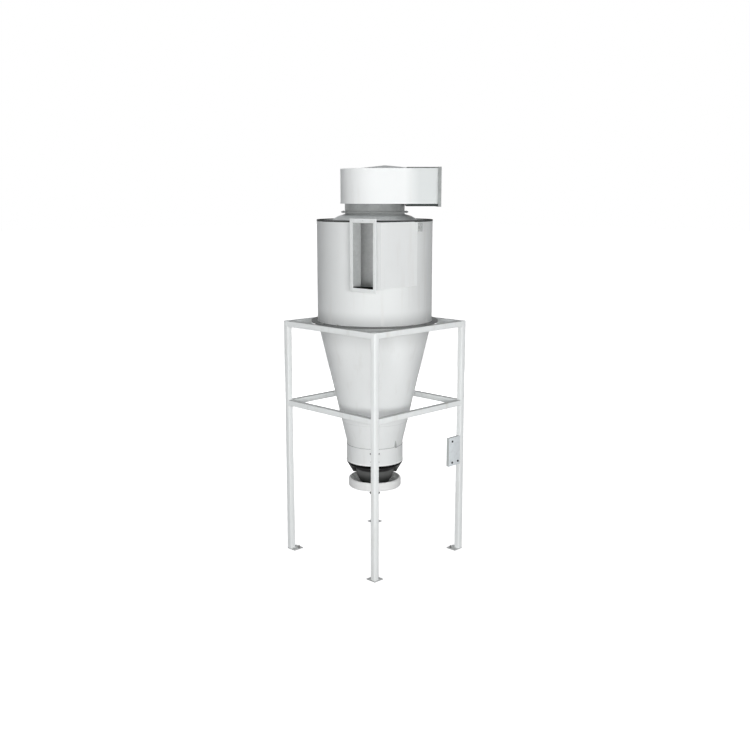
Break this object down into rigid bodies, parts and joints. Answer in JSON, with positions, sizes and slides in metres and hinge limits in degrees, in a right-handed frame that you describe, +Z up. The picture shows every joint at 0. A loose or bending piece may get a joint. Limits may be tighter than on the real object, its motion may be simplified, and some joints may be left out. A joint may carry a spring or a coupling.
{
  "type": "cyclone separator",
  "caption": "Dust cyclone on a square-tube stand: tangential inlet, outlet scroll, cone, rubber boot and container lid.",
  "frame": {"origin": "on the floor under the body's axis, at the centre of the stand's four anchor holes", "axes": "+Z up; X and Y along the stand's sides; the inlet flange faces -Y on the +X side; the outlet points between +X and +Y"},
  "size_m": [1.1926, 1.135, 3.447],
  "materials": {
    "body_paint": "light grey gloss paint",
    "stand_paint": "light grey paint on square tube",
    "bare_steel": "galvanised steel, mid grey",
    "seal_rubber": "black seal rubber",
    "boot_rubber": "dark grey flexible boot",
    "lid_paint": "white paint",
    "box_paint": "pale grey enclosure",
    "knob_black": "black"
  },
  "bodies": {
    "root": {"body_roof": "bare_steel", "body_shell": "body_paint", "boot_head": "boot_rubber", "box_cover": "box_paint", "box_knobs": "knob_black", "collar_fins": "body_paint", "container_lid": "lid_paint", "control_box": "box_paint", "discharge_collar": "body_paint", "flexible_sleeve": "boot_rubber", "foot_plate_back": "stand_paint", "foot_plate_front": "stand_paint", "foot_plate_left": "stand_paint", "foot_plate_right": "stand_paint", "inlet_bottom_plate": "body_paint", "inlet_flange": "body_paint", "inlet_inner_wall": "body_paint", "inlet_outer_wall": "body_paint", "inlet_top_plate": "body_paint", "leg_back": "stand_paint", "leg_front": "stand_paint", "leg_left": "stand_paint", "leg_right": "stand_paint", "lifting_lugs": "body_paint", "main_cone": "body_paint", "middle_rail_back_left": "stand_paint", "middle_rail_back_right": "stand_paint", "middle_rail_front_left": "stand_paint", "middle_rail_front_right": "stand_paint", "neck_flange": "bare_steel", "outlet_flange": "body_paint", "outlet_floor_tray": "bare_steel", "outlet_pipe": "bare_steel", "pipe_flange": "bare_steel", "roof_dome": "bare_steel", "scroll_floor": "body_paint", "scroll_neck": "bare_steel", "scroll_top": "body_paint", "scroll_wall": "body_paint", "seal_band": "seal_rubber", "support_ring": "bare_steel", "top_rail_back_left": "stand_paint", "top_rail_back_right": "stand_paint", "top_rail_front_left": "stand_paint", "top_rail_front_right": "stand_paint"}
  },
  "joints": []
}
